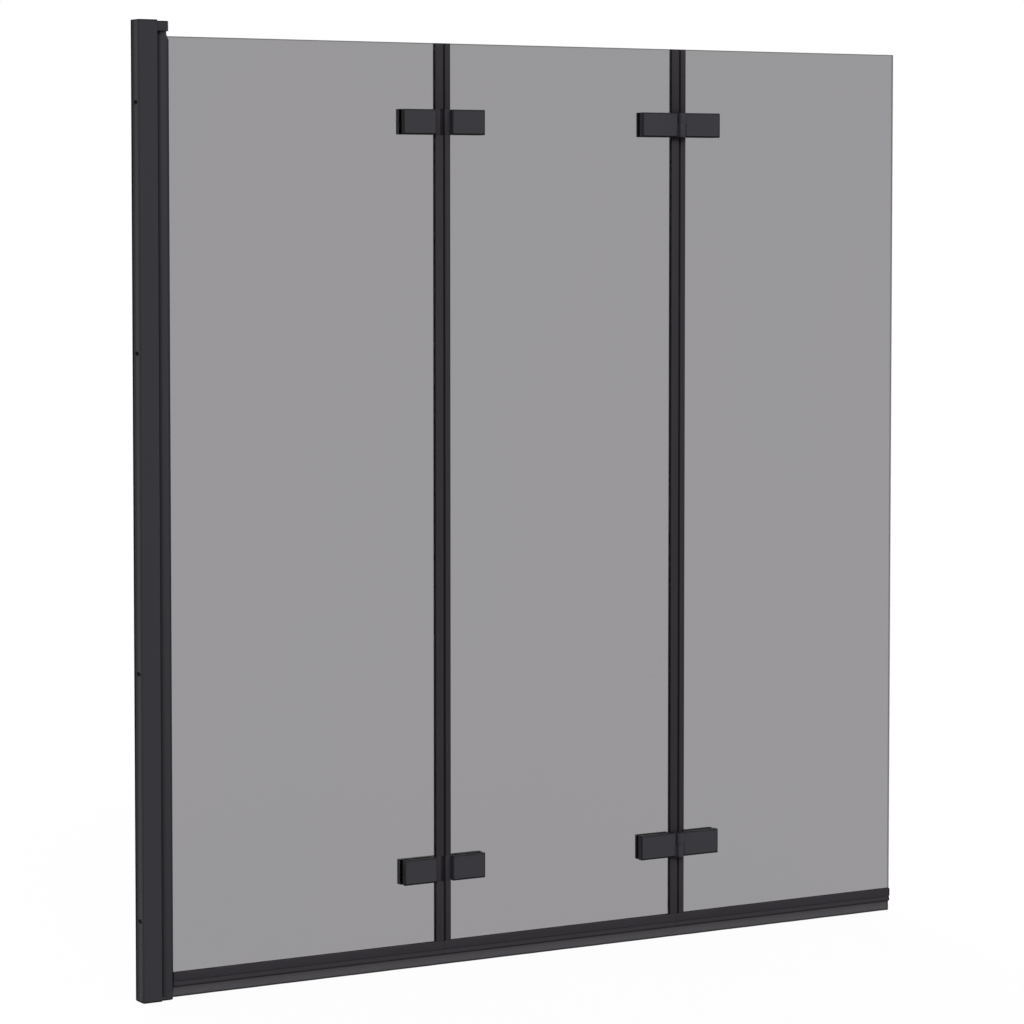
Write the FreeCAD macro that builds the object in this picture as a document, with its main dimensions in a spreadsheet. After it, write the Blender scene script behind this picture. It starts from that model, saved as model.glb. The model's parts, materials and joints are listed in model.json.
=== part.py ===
import FreeCAD, Part
import Sketcher
import os

# Three-panel folding bath screen, sizes in millimetres.
# X runs out from the tiled wall, Y across the glass with the bath at -Y, Z up from the bath rim.
SIZES = {
    # overall envelope
    "screen_width": 1300.0,
    "screen_height": 1380.0,
    "overrun": 1.0,
    # wall channel, a U open away from the wall with two sealant grooves in its wall face
    "profile_depth": 29.0,
    "profile_width": 27.0,
    "profile_wall": 1.6,
    "profile_web": 2.4,
    "profile_corner": 0.8,
    "groove_width": 3.0,
    "groove_depth": 0.8,
    "groove_offset": 10.9,
    "wall_hole_radius": 3.0,
    "wall_hole_margin": 115.0,
    "wall_hole_inner_margin": 465.0,
    "cap_height": 1.5,
    "cap_tongue_length": 6.0,
    "cap_tongue_width": 16.0,
    "cap_fit": 0.1,
    # adjusting channel that telescopes in the wall channel
    "slide_gap": 0.4,
    "inner_wall": 1.6,
    "inner_start": 8.0,
    "spigot_fit": 0.2,
    "spigot_length": 12.0,
    "lip_width": 4.4,
    "lip_tip": 1.2,
    "lip_gap": 0.3,
    # pivot post and its bearings
    "pivot_place": 41.0,
    "post_radius": 10.0,
    "post_wall": 1.6,
    "post_bottom": 11.7,
    "post_head_gap": 27.0,
    "jaw_half": 5.1,
    "jaw_reach": 8.5,
    "slot_half": 3.3,
    "slot_start": 2.4,
    "plug_radius": 9.7,
    "plug_taper": 7.3,
    "plug_neck": 4.3,
    "plug_neck_radius": 6.8,
    "plug_spigot_start": 7.0,
    "plug_spigot_end": 0.5,
    "plug_spigot_width": 8.0,
    "plug_glass_fit": 0.2,
    "pin_radius": 2.5,
    "pin_fit": 0.05,
    "pin_end_gap": 0.8,
    "turn_gap": 0.1,
    "bracket_nose_radius": 9.5,
    "bottom_bracket_height": 5.3,
    "bracket_start": 4.0,
    "top_pin_depth": 10.0,
    # glass panes
    "glass_thickness": 5.0,
    "glass_bottom": 25.9,
    "glass_over_post": 4.7,
    "glass_start": 3.3,
    "joint_one": 488.0,
    "joint_two": 897.5,
    "glass_to_joint": 5.0,
    # bottom seal: rigid U strip with a drip fin, and a soft skirt hung under it
    "rail_half": 4.6,
    "rail_top": 36.8,
    "rail_bottom": 24.6,
    "rail_lip": 0.7,
    "stem_half": 1.2,
    "stem_bottom": 15.5,
    "fin_root_top": 24.0,
    "fin_root_bottom": 22.2,
    "fin_reach": 4.3,
    "fin_tip_top": 18.8,
    "fin_tip_bottom": 17.0,
    "skirt_half": 0.5,
    "skirt_bead": 0.9,
    "skirt_bead_height": 1.6,
    "skirt_bottom": 1.2,
    "strip_end_gap": 0.2,
    "strip_to_post": 0.2,
    # upright seals at the two folds
    "seal_half": 4.3,
    "seal_wide_face": 0.5,
    "seal_nose_half": 2.4,
    "seal_nose_tip_half": 1.4,
    "seal_nose_reach": 3.1,
    "seal_slim_face": 3.5,
    "seal_notch_fit": 0.3,
    "seal_edge_wall": 0.8,
    "seal_web_half": 1.0,
    # hinges
    "hinge_height": 37.0,
    "hinge_low": 144.5,
    "hinge_top_margin": 137.0,
    "hinge_gasket": 0.5,
    "block_reach": 69.5,
    "block_thick": 10.0,
    "block_gap": 0.75,
    "plate_reach": 68.0,
    "plate_start": 13.0,
    "plate_thick": 7.0,
    "edge_chamfer": 0.8,
    "axis_lift": 0.3,
    "knuckle_radius": 5.5,
    "knuckle_relief": 6.2,
    "knuckle_gap": 0.4,
    "hinge_pin_radius": 3.0,
    "hinge_pin_recess": 0.5,
    "screw_place": 38.0,
    "screw_radius": 3.5,
    "screw_fit": 0.2,
    "screw_floor": 1.5,
    "screw_sink": 0.4,
    "notch_reach": 48.0,
    "notch_half": 9.0,
    "notch_corner": 3.0,
    "gasket_inset": 0.5,
}

doc = FreeCAD.newDocument("BathScreen")
sheet = doc.addObject("Spreadsheet::Sheet", "Sizes")
for row, (name, value) in enumerate(SIZES.items(), start=1):
    sheet.set("A%d" % row, name)
    sheet.set("B%d" % row, str(value))
    sheet.setAlias("B%d" % row, name)
doc.recompute()


class Size:
    """A length that keeps its number and the sheet formula that gives it."""

    def __init__(self, formula, number):
        self.formula = formula
        self.number = number

    def joined(self, sign, other, number, swap=False):
        other_formula = other.formula if isinstance(other, Size) else repr(other)
        pair = (other_formula, self.formula) if swap else (self.formula, other_formula)
        return Size("(%s %s %s)" % (pair[0], sign, pair[1]), number)

    def __add__(self, other):
        return self.joined("+", other, self.number + plain(other))

    def __radd__(self, other):
        return self.joined("+", other, plain(other) + self.number, swap=True)

    def __sub__(self, other):
        return self.joined("-", other, self.number - plain(other))

    def __rsub__(self, other):
        return self.joined("-", other, plain(other) - self.number, swap=True)

    def __mul__(self, other):
        return self.joined("*", other, self.number * plain(other))

    def __rmul__(self, other):
        return self.joined("*", other, plain(other) * self.number, swap=True)

    def __truediv__(self, other):
        return self.joined("/", other, self.number / plain(other))

    def __neg__(self):
        return Size("(0 - %s)" % self.formula, -self.number)


def plain(value):
    return value.number if isinstance(value, Size) else float(value)


class Sheet:
    """Gives each cell of the sheet by its alias."""

    def __getattr__(self, alias):
        return Size("Sizes.%s" % alias, SIZES[alias])


s = Sheet()
ZERO = Size("0", 0.0)
SAME_LEVEL = 0.000001


def bind(thing, path, value):
    """Ties one property or constraint of an object to its formula."""
    if isinstance(value, Size) and "Sizes." in value.formula:
        thing.setExpression(path, value.formula)


def new_body(label):
    body = doc.addObject("PartDesign::Body", label)
    body.Label = label
    body.AllowCompound = True
    return body


def sketch_on(body, role, level, origin_x=ZERO):
    """A sketch on one of the body's own planes, moved along the plane's normal by level."""
    plane = [f for f in body.Origin.OriginFeatures if f.Role == role][0]
    sketch = body.newObject("Sketcher::SketchObject", body.Name + "_outline")
    sketch.AttachmentSupport = [(plane, "")]
    sketch.MapMode = "FlatFace"
    place = FreeCAD.Vector(plain(origin_x), 0, plain(level))
    sketch.AttachmentOffset = FreeCAD.Placement(place, FreeCAD.Rotation())
    bind(sketch, "AttachmentOffset.Base.x", origin_x)
    bind(sketch, "AttachmentOffset.Base.z", level)
    return sketch


def place_point(sketch, item, end, across, along):
    """Two bound distances from the sketch's origin fix one point."""
    for kind, value in (("DistanceX", across), ("DistanceY", along)):
        number = plain(value)
        index = sketch.addConstraint(Sketcher.Constraint(kind, -1, 1, item, end, number))
        bind(sketch, "Constraints[%d]" % index, value)


def outline(sketch, points):
    """A closed outline of straight lines through points given as (across, along)."""
    spots = [FreeCAD.Vector(plain(across), plain(along), 0) for across, along in points]
    first = sketch.GeometryCount
    count = len(spots)
    for index in range(count):
        sketch.addGeometry(Part.LineSegment(spots[index], spots[(index + 1) % count]), False)
    for index in range(count):
        after = first + (index + 1) % count
        sketch.addConstraint(Sketcher.Constraint("Coincident", first + index, 2, after, 1))
        place_point(sketch, first + index, 1, points[index][0], points[index][1])


def rectangle(sketch, left, right, low, high):
    outline(sketch, [(left, low), (right, low), (right, high), (left, high)])


def ring(sketch, across, along, radius):
    """A circle whose centre and radius are bound to the sheet."""
    centre = FreeCAD.Vector(plain(across), plain(along), 0)
    item = sketch.addGeometry(Part.Circle(centre, FreeCAD.Vector(0, 0, 1), plain(radius)), False)
    index = sketch.addConstraint(Sketcher.Constraint("Radius", item, plain(radius)))
    bind(sketch, "Constraints[%d]" % index, radius)
    place_point(sketch, item, 3, across, along)


def start_level(role, low, high):
    """The XZ plane looks along -Y, so there an extrusion starts from its high side."""
    return -high if role == "XZ_Plane" else low


def extrude(body, role, low, high, draw):
    """Adds the outline that draw puts in a sketch, between two levels on the plane's axis."""
    sketch = sketch_on(body, role, start_level(role, low, high))
    draw(sketch)
    pad = body.newObject("PartDesign::Pad", body.Name + "_pad")
    pad.Profile = sketch
    pad.Length = plain(high - low)
    bind(pad, "Length", high - low)
    body.Tip = pad
    return pad


def cut(body, role, low, high, draw):
    """Removes the outline that draw puts in a sketch, between two levels on the plane's axis."""
    doc.recompute()
    before = body.Shape.Volume
    sketch = sketch_on(body, role, start_level(role, low, high))
    draw(sketch)
    pocket = body.newObject("PartDesign::Pocket", body.Name + "_pocket")
    pocket.Profile = sketch
    pocket.Length = plain(high - low)
    pocket.Reversed = True
    bind(pocket, "Length", high - low)
    body.Tip = pocket
    doc.recompute()
    if not body.Shape.Volume < before:
        raise RuntimeError("%s: a pocket cut nothing" % body.Label)
    return pocket


def revolve(body, centre_x, points):
    """Turns an outline of (radius, height) points about an upright axis at centre_x."""
    sketch = sketch_on(body, "XZ_Plane", ZERO, centre_x)
    outline(sketch, points)
    turned = body.newObject("PartDesign::Revolution", body.Name + "_turned")
    turned.Profile = sketch
    turned.ReferenceAxis = (sketch, ["V_Axis"])
    turned.Angle = 360.0
    body.Tip = turned
    return turned


def chamfer_face(body, feature, axis, level, width):
    """Breaks every edge of the flat face that lies at level along an axis."""
    doc.recompute()
    names = []
    for number, edge in enumerate(feature.Shape.Edges, start=1):
        if all(abs(vertex.Point[axis] - plain(level)) < SAME_LEVEL for vertex in edge.Vertexes):
            names.append("Edge%d" % number)
    broken = body.newObject("PartDesign::Chamfer", body.Name + "_chamfer")
    broken.Base = (feature, names)
    broken.Size = plain(width)
    bind(broken, "Size", width)
    body.Tip = broken
    return broken


# levels and half widths that several pieces share
PROFILE_HALF = s.profile_width / 2
CHANNEL_HALF = PROFILE_HALF - s.profile_wall
PROFILE_TOP = s.screen_height - s.cap_height
INNER_HALF = CHANNEL_HALF - s.slide_gap
INNER_BORE_HALF = INNER_HALF - s.inner_wall
GLASS_HALF = s.glass_thickness / 2
CLAMP_HALF = GLASS_HALF + s.hinge_gasket
POST_TOP = s.screen_height - s.post_head_gap
GLASS_TOP = POST_TOP + s.glass_over_post
BRACKET_FLOOR = POST_TOP + s.plug_taper + s.plug_neck
AXIS_OFFSET = CLAMP_HALF + s.block_thick + s.axis_lift
HINGE_HALF = s.hinge_height / 2
HINGE_HIGH = s.screen_height - s.hinge_top_margin
HINGE_LEVELS = (s.hinge_low, HINGE_HIGH)
WALL_HOLES = (
    s.wall_hole_margin,
    s.wall_hole_inner_margin,
    s.screen_height - s.wall_hole_inner_margin,
    s.screen_height - s.wall_hole_margin,
)


def profile_outer(sketch):
    """The wall channel's outer rectangle with broken corners, as the cap repeats it."""
    corner = s.profile_corner
    outline(sketch, [
        (ZERO, corner - PROFILE_HALF),
        (corner, -PROFILE_HALF),
        (s.profile_depth - corner, -PROFILE_HALF),
        (s.profile_depth, corner - PROFILE_HALF),
        (s.profile_depth, PROFILE_HALF - corner),
        (s.profile_depth - corner, PROFILE_HALF),
        (corner, PROFILE_HALF),
        (ZERO, PROFILE_HALF - corner),
    ])


def wall_profile():
    """Aluminium channel screwed to the wall through four holes on its centre line."""
    body = new_body("wall_profile")
    extrude(body, "XY_Plane", ZERO, PROFILE_TOP, profile_outer)

    def channel(sketch):
        rectangle(sketch, s.profile_web, s.profile_depth + s.overrun, -CHANNEL_HALF, CHANNEL_HALF)

    def grooves(sketch):
        half = s.groove_width / 2
        for side in (-1, 1):
            middle = s.groove_offset * side
            rectangle(sketch, -s.overrun, s.groove_depth, middle - half, middle + half)

    def wall_holes(sketch):
        for level in WALL_HOLES:
            ring(sketch, ZERO, level, s.wall_hole_radius)

    top = PROFILE_TOP + s.overrun
    cut(body, "XY_Plane", -s.overrun, top, channel)
    cut(body, "XY_Plane", -s.overrun, top, grooves)
    cut(body, "YZ_Plane", -s.overrun, s.profile_web + s.overrun, wall_holes)
    return body


def profile_cap():
    """Moulded cap on top of the wall channel, held by a tongue behind the top bracket."""
    body = new_body("profile_cap")
    plate = extrude(body, "XY_Plane", PROFILE_TOP, s.screen_height, profile_outer)
    chamfer_face(body, plate, 2, s.screen_height, s.cap_height / 3)

    def tongue(sketch):
        half = s.cap_tongue_width / 2
        rectangle(sketch, s.profile_web + s.cap_fit, s.bracket_start - s.cap_fit, -half, half)

    extrude(body, "XY_Plane", PROFILE_TOP - s.cap_tongue_length, PROFILE_TOP, tongue)
    return body


def inner_profile():
    """Adjusting channel, open to the wall, that slides in or out to take up an uneven wall."""
    body = new_body("inner_profile")

    def section(sketch):
        rectangle(sketch, s.inner_start, s.profile_depth, -INNER_HALF, INNER_HALF)

    def hollow(sketch):
        nose = s.profile_depth - s.inner_wall
        rectangle(sketch, s.inner_start - s.overrun, nose, -INNER_BORE_HALF, INNER_BORE_HALF)

    low = s.bottom_bracket_height
    extrude(body, "XY_Plane", low, BRACKET_FLOOR, section)
    cut(body, "XY_Plane", low - s.overrun, BRACKET_FLOOR + s.overrun, hollow)
    return body


def post_lip():
    """Rubber lip along the adjusting channel's nose that closes the gap to the post."""
    body = new_body("post_lip_seal")
    root = s.lip_width / 2
    tip = s.lip_tip / 2
    reach = s.pivot_place - s.post_radius - s.lip_gap

    def section(sketch):
        outline(sketch, [(s.profile_depth, -root), (reach, -tip), (reach, tip), (s.profile_depth, root)])

    extrude(body, "XY_Plane", s.bottom_bracket_height + s.lip_gap, BRACKET_FLOOR - s.lip_gap, section)
    return body


def bracket(label, low, high, spigot_low, spigot_high):
    """End block in the wall channel whose round nose carries a pivot pin."""
    body = new_body(label)

    def block(sketch):
        nose = s.bracket_nose_radius
        outline(sketch, [
            (s.bracket_start, -INNER_HALF),
            (s.profile_depth, -INNER_HALF),
            (s.profile_depth, -nose),
            (s.pivot_place, -nose),
            (s.pivot_place, nose),
            (s.profile_depth, nose),
            (s.profile_depth, INNER_HALF),
            (s.bracket_start, INNER_HALF),
        ])

    def nose_ring(sketch):
        ring(sketch, s.pivot_place, ZERO, s.bracket_nose_radius)

    def spigot(sketch):
        half = INNER_BORE_HALF - s.spigot_fit
        far = s.profile_depth - s.inner_wall - s.spigot_fit
        rectangle(sketch, s.inner_start, far, -half, half)

    extrude(body, "XY_Plane", low, high, block)
    extrude(body, "XY_Plane", low, high, nose_ring)
    extrude(body, "XY_Plane", spigot_low, spigot_high, spigot)
    return body


def pin_ring(sketch):
    ring(sketch, s.pivot_place, ZERO, s.pin_radius)


def top_bracket():
    low = BRACKET_FLOOR
    body = bracket("top_bracket", low, PROFILE_TOP, low - s.spigot_length, low)
    cut(body, "XY_Plane", low - s.overrun, low + s.top_pin_depth, pin_ring)
    return body


def bottom_bracket():
    high = s.bottom_bracket_height
    body = bracket("bottom_bracket", ZERO, high, high, high + s.spigot_length)
    cut(body, "XY_Plane", s.pin_end_gap, high + s.overrun, pin_ring)
    return body


def pivot_pins():
    """Steel pins pressed into the two brackets, on which the post turns."""
    top = new_body("top_pivot_pin")
    extrude(top, "XY_Plane", POST_TOP + s.pin_end_gap, BRACKET_FLOOR + s.top_pin_depth, pin_ring)
    bottom = new_body("bottom_pivot_pin")
    extrude(bottom, "XY_Plane", s.pin_end_gap, s.post_bottom - s.pin_end_gap, pin_ring)
    return [top, bottom]


def pivot_post():
    """Round aluminium post with a glass slot between two jaws and hollow chambers beside it."""
    body = new_body("pivot_post")
    low = s.post_bottom
    high = POST_TOP

    def skin(sketch):
        ring(sketch, s.pivot_place, ZERO, s.post_radius)

    def hollow(sketch):
        ring(sketch, s.pivot_place, ZERO, s.post_radius - s.post_wall)

    def jaws(sketch):
        rectangle(sketch, s.pivot_place, s.pivot_place + s.jaw_reach, -s.jaw_half, s.jaw_half)

    def slot(sketch):
        far = s.pivot_place + s.post_radius + s.overrun
        rectangle(sketch, s.pivot_place + s.slot_start, far, -s.slot_half, s.slot_half)

    extrude(body, "XY_Plane", low, high, skin)
    cut(body, "XY_Plane", low - s.overrun, high + s.overrun, hollow)
    extrude(body, "XY_Plane", low, high, jaws)
    cut(body, "XY_Plane", low - s.overrun, high + s.overrun, slot)
    return body


def plug_spigot(sketch):
    """Tongue of an end plug, inside the post's round chamber."""
    left = s.pivot_place - s.plug_spigot_start
    right = s.pivot_place - s.plug_spigot_end
    half = s.plug_spigot_width / 2
    rectangle(sketch, left, right, -half, half)


def post_plugs():
    """Acetal end plugs of the post: each is the bearing that turns on a pivot pin."""
    bore = s.pin_radius + s.pin_fit
    head = s.plug_radius
    neck = s.plug_neck_radius
    top = new_body("post_top_plug")
    low = POST_TOP
    high = BRACKET_FLOOR - s.turn_gap
    revolve(top, s.pivot_place, [
        (bore, low),
        (head, low),
        (neck, low + s.plug_taper),
        (neck, high),
        (bore, high),
    ])
    extrude(top, "XY_Plane", low - s.spigot_length, low, plug_spigot)

    def glass_slot(sketch):
        half = GLASS_HALF + s.plug_glass_fit
        left = s.pivot_place + s.glass_start - s.plug_glass_fit
        rectangle(sketch, left, s.pivot_place + head + s.overrun, -half, half)

    cut(top, "XY_Plane", low - s.overrun, GLASS_TOP + s.plug_glass_fit, glass_slot)
    bottom = new_body("post_bottom_plug")
    foot = s.bottom_bracket_height + s.turn_gap
    rim = s.post_bottom
    revolve(bottom, s.pivot_place, [(bore, foot), (head, foot), (head, rim), (bore, rim)])
    extrude(bottom, "XY_Plane", rim, rim + s.spigot_length, plug_spigot)
    return [top, bottom]


def post_gasket():
    """Rubber glazing channel that holds the first pane in the post's slot."""
    body = new_body("post_glazing_gasket")

    def section(sketch):
        left = s.pivot_place + s.slot_start
        right = s.pivot_place + s.jaw_reach
        edge = s.pivot_place + s.glass_start
        outline(sketch, [
            (left, -s.slot_half),
            (right, -s.slot_half),
            (right, -GLASS_HALF),
            (edge, -GLASS_HALF),
            (edge, GLASS_HALF),
            (right, GLASS_HALF),
            (right, s.slot_half),
            (left, s.slot_half),
        ])

    extrude(body, "XY_Plane", s.post_bottom, POST_TOP, section)
    return body


def notch(edge, centre, side, level):
    """Points round a notch for a clamp screw, from its mouth in the pane's edge and back."""
    deep = centre + s.notch_reach * side
    half = s.notch_half
    corner = s.notch_corner
    return [
        (edge, level - half),
        (deep - corner * side, level - half),
        (deep, level - half + corner),
        (deep, level + half - corner),
        (deep - corner * side, level + half),
        (edge, level + half),
    ]


def glass(label, left, right, joints):
    """A toughened pane, notched in its upright edges where the hinge screws pass."""
    body = new_body(label)

    def pane(sketch):
        points = [(left, s.glass_bottom), (right, s.glass_bottom)]
        for centre, side in joints:
            if side < 0:
                for level in HINGE_LEVELS:
                    points += notch(right, centre, side, level)
        points += [(right, GLASS_TOP), (left, GLASS_TOP)]
        for centre, side in joints:
            if side > 0:
                for level in reversed(HINGE_LEVELS):
                    points += reversed(notch(left, centre, side, level))
        outline(sketch, points)

    extrude(body, "XZ_Plane", -GLASS_HALF, GLASS_HALF, pane)
    return body


def bottom_rail(label, left, right):
    """Strip under a pane: a U round the glass, a stem, and a fin that drips into the bath."""
    body = new_body(label)

    def section(sketch):
        half = s.rail_half
        outline(sketch, [
            (-half, s.rail_top - s.rail_lip),
            (-half, s.rail_bottom + s.rail_lip),
            (s.rail_lip - half, s.rail_bottom),
            (-s.stem_half, s.rail_bottom),
            (-s.stem_half, s.fin_root_top),
            (-s.fin_reach, s.fin_tip_top),
            (-s.fin_reach, s.fin_tip_bottom),
            (-s.stem_half, s.fin_root_bottom),
            (-s.stem_half, s.stem_bottom),
            (s.stem_half, s.stem_bottom),
            (s.stem_half, s.rail_bottom),
            (half - s.rail_lip, s.rail_bottom),
            (half, s.rail_bottom + s.rail_lip),
            (half, s.rail_top - s.rail_lip),
            (half - s.rail_lip, s.rail_top),
            (GLASS_HALF, s.rail_top),
            (GLASS_HALF, s.glass_bottom),
            (-GLASS_HALF, s.glass_bottom),
            (-GLASS_HALF, s.rail_top),
            (s.rail_lip - half, s.rail_top),
        ])

    extrude(body, "YZ_Plane", left, right, section)
    return body


def skirt(label, left, right):
    """Soft blade that hangs from the strip's stem down to the bath rim, beaded at its foot."""
    body = new_body(label)

    def section(sketch):
        thin = s.skirt_half
        bead = s.skirt_bead
        foot = s.skirt_bottom
        outline(sketch, [
            (-thin, s.stem_bottom),
            (-thin, foot + s.skirt_bead_height),
            (-bead, foot + s.skirt_bead_height / 2),
            (-thin, foot),
            (thin, foot),
            (bead, foot + s.skirt_bead_height / 2),
            (thin, foot + s.skirt_bead_height),
            (thin, s.stem_bottom),
        ])

    extrude(body, "YZ_Plane", left, right, section)
    return body


def notch_levels(sketch_box):
    """Runs one notch for each hinge level, a little taller than the hinge."""
    half = HINGE_HALF + s.seal_notch_fit
    for level in HINGE_LEVELS:
        sketch_box(level - half, level + half)


def across_span(near, far):
    """Two levels in rising order."""
    return (near, far) if plain(near) < plain(far) else (far, near)


def upright_seal(label, centre, side, knuckle_side, wide):
    """Seal on a pane's upright edge at a fold, notched round the hinge parts.

    side is -1 on the pane left of the fold and 1 on the right one. The wide form has a
    soft nose that reaches over the fold, and keeps a thin web of it behind each hinge.
    The slim form is a plain U.
    """
    body = new_body(label)
    half = s.seal_half
    edge = centre + s.glass_to_joint * side
    far = centre + (s.plate_start - s.seal_notch_fit) * side
    if wide:
        face = centre - s.seal_wide_face * side
        nose = centre - s.seal_nose_reach * side
        front = [
            (face, -half),
            (face, -s.seal_nose_half),
            (nose, -s.seal_nose_tip_half),
            (nose, s.seal_nose_tip_half),
            (face, s.seal_nose_half),
            (face, half),
        ]
    else:
        face = centre + s.seal_slim_face * side
        front = [(face, -half), (face, half)]

    def section(sketch):
        outline(sketch, front + [
            (far, half),
            (far, GLASS_HALF),
            (edge, GLASS_HALF),
            (edge, -GLASS_HALF),
            (far, -GLASS_HALF),
            (far, -half),
        ])

    extrude(body, "XY_Plane", s.rail_top, GLASS_TOP, section)
    deep = half + s.overrun
    low, high = across_span(GLASS_HALF * knuckle_side, deep * knuckle_side)
    sweep_low, sweep_high = across_span(far + s.overrun * side, centre - s.seal_slim_face * side)

    def hinge_windows(left, right):
        def draw(sketch):
            notch_levels(lambda bottom, top: rectangle(sketch, left, right, bottom, top))
        return draw

    cut(body, "XZ_Plane", low, high, hinge_windows(sweep_low, sweep_high))
    if wide:
        inner = centre + (s.glass_to_joint - s.seal_edge_wall) * side
        head_low, head_high = across_span(inner, centre - s.seal_slim_face * side)
        for face_side in (-1, 1):
            low, high = across_span(s.seal_web_half * face_side, deep * face_side)
            cut(body, "XZ_Plane", low, high, hinge_windows(head_low, head_high))
    return body


def screw_hole(body, centre, side, level, inner, outer, takes_head):
    """Screw passage through a clamp part, or a blind threaded hole from its face at the glass."""
    low, high = across_span(inner, outer)

    def passage(sketch):
        ring(sketch, centre + s.screw_place * side, level, s.screw_radius + s.screw_fit)

    def thread(sketch):
        ring(sketch, centre + s.screw_place * side, level, s.screw_radius + s.pin_fit)

    if takes_head:
        cut(body, "XZ_Plane", low - s.overrun, high + s.overrun, passage)
    else:
        cut(body, "XZ_Plane", low + s.screw_floor, high + s.overrun, thread)


def hinge_block(label, centre, side, knuckle_side, level, upper_half):
    """Clamp block of a hinge with its half of the barrel.

    The left-hand block has the lower half and carries the pin, and the right-hand one stands
    on it with the upper half, cut away below to clear it.
    """
    body = new_body(label)
    inner = CLAMP_HALF * knuckle_side
    outer = (CLAMP_HALF + s.block_thick) * knuckle_side
    axis = AXIS_OFFSET * knuckle_side
    bottom = level - HINGE_HALF
    top = level + HINGE_HALF
    near = centre + s.block_gap * side
    far = centre + s.block_reach * side

    def block(sketch):
        rectangle(sketch, near, far, inner, outer)

    def barrel(sketch):
        ring(sketch, centre, axis, s.knuckle_radius)

    def relief(sketch):
        left, right = across_span(near - s.overrun * side, centre + s.knuckle_relief * side)
        floor, roof = across_span(axis - s.knuckle_relief * knuckle_side, outer + s.overrun * knuckle_side)
        rectangle(sketch, left, right, floor, roof)

    def bore(sketch):
        fit = s.pin_fit if upper_half else ZERO
        ring(sketch, centre, axis, s.hinge_pin_radius + fit)

    pad = extrude(body, "XY_Plane", bottom, top, block)
    chamfer_face(body, pad, 1, outer, s.edge_chamfer)
    if upper_half:
        cut(body, "XY_Plane", bottom - s.overrun, level + s.knuckle_gap / 2, relief)
        extrude(body, "XY_Plane", level + s.knuckle_gap / 2, top, barrel)
    else:
        cut(body, "XY_Plane", level - s.knuckle_gap / 2, top + s.overrun, relief)
        extrude(body, "XY_Plane", bottom, level - s.knuckle_gap / 2, barrel)
    cut(body, "XY_Plane", bottom - s.overrun, top + s.overrun, bore)
    screw_hole(body, centre, side, level, inner, outer, knuckle_side > 0)
    return body


def hinge_plate(label, centre, side, knuckle_side, level):
    """Plain clamp plate on the face of the glass opposite the knuckles."""
    body = new_body(label)
    inner = CLAMP_HALF * -knuckle_side
    outer = (CLAMP_HALF + s.plate_thick) * -knuckle_side

    def plate(sketch):
        rectangle(sketch, centre + s.plate_start * side, centre + s.plate_reach * side, inner, outer)

    pad = extrude(body, "XY_Plane", level - HINGE_HALF, level + HINGE_HALF, plate)
    chamfer_face(body, pad, 1, outer, s.edge_chamfer)
    screw_hole(body, centre, side, level, inner, outer, knuckle_side < 0)
    return body


def hinge_pin(label, centre, knuckle_side, level):
    """Steel hinge pin, pressed into the lower half of the barrel and turning in the upper one."""
    body = new_body(label)

    def round_bar(sketch):
        ring(sketch, centre, AXIS_OFFSET * knuckle_side, s.hinge_pin_radius)

    half = HINGE_HALF - s.hinge_pin_recess
    extrude(body, "XY_Plane", level - half, level + half, round_bar)
    return body


def hinge_gaskets(label, centre, side):
    """Rubber pads between the glass and the clamp parts, open round the notch in the glass."""
    body = new_body(label)
    half = HINGE_HALF - s.gasket_inset
    mouth = centre + (s.plate_start + s.gasket_inset) * side
    back = centre + (s.plate_reach - s.gasket_inset) * side

    def pads(sketch):
        for level in HINGE_LEVELS:
            opening = notch(mouth, centre, side, level)
            outline(sketch, [(mouth, level - half), (back, level - half), (back, level + half),
                             (mouth, level + half)] + opening[::-1])

    for face in (-1, 1):
        low, high = across_span(GLASS_HALF * face, CLAMP_HALF * face)
        extrude(body, "XZ_Plane", low, high, pads)
    return body


def hinge_screws(label, centre, side, knuckle_side):
    """Clamp screws, each with its sleeve as one plain bar, set flush on the side away from the bath."""
    body = new_body(label)
    head_part = s.block_thick if knuckle_side > 0 else s.plate_thick
    thread_part = s.plate_thick if knuckle_side > 0 else s.block_thick

    def bars(sketch):
        for level in HINGE_LEVELS:
            ring(sketch, centre + s.screw_place * side, level, s.screw_radius)

    tip = s.screw_floor - CLAMP_HALF - thread_part
    extrude(body, "XZ_Plane", tip, CLAMP_HALF + head_part - s.screw_sink, bars)
    return body


def fold_hardware(number, centre, knuckle_side):
    """Every hinge part of one fold: blocks, plates and pins at two levels, then the groups."""
    parts = []
    for half, side in (("a", -1), ("b", 1)):
        for name, level in (("lower", s.hinge_low), ("upper", HINGE_HIGH)):
            stem = "hinge_%d_%s" % (number, name)
            block = "%s_block_%s" % (stem, half)
            parts.append(hinge_block(block, centre, side, knuckle_side, level, side > 0))
            parts.append(hinge_plate("%s_plate_%s" % (stem, half), centre, side, knuckle_side, level))
            if side < 0:
                parts.append(hinge_pin("%s_pin" % stem, centre, knuckle_side, level))
        parts.append(hinge_gaskets("hinge_%d_gaskets_%s" % (number, half), centre, side))
        parts.append(hinge_screws("hinge_%d_screws_%s" % (number, half), centre, side, knuckle_side))
        wide = side < 0
        parts.append(upright_seal("fold_%d_seal_%s" % (number, half), centre, side, knuckle_side, wide))
    return parts


# the fixed parts on the wall
nodes = [wall_profile(), profile_cap(), inner_profile(), post_lip(), top_bracket(), bottom_bracket()]
nodes += pivot_pins()

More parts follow.
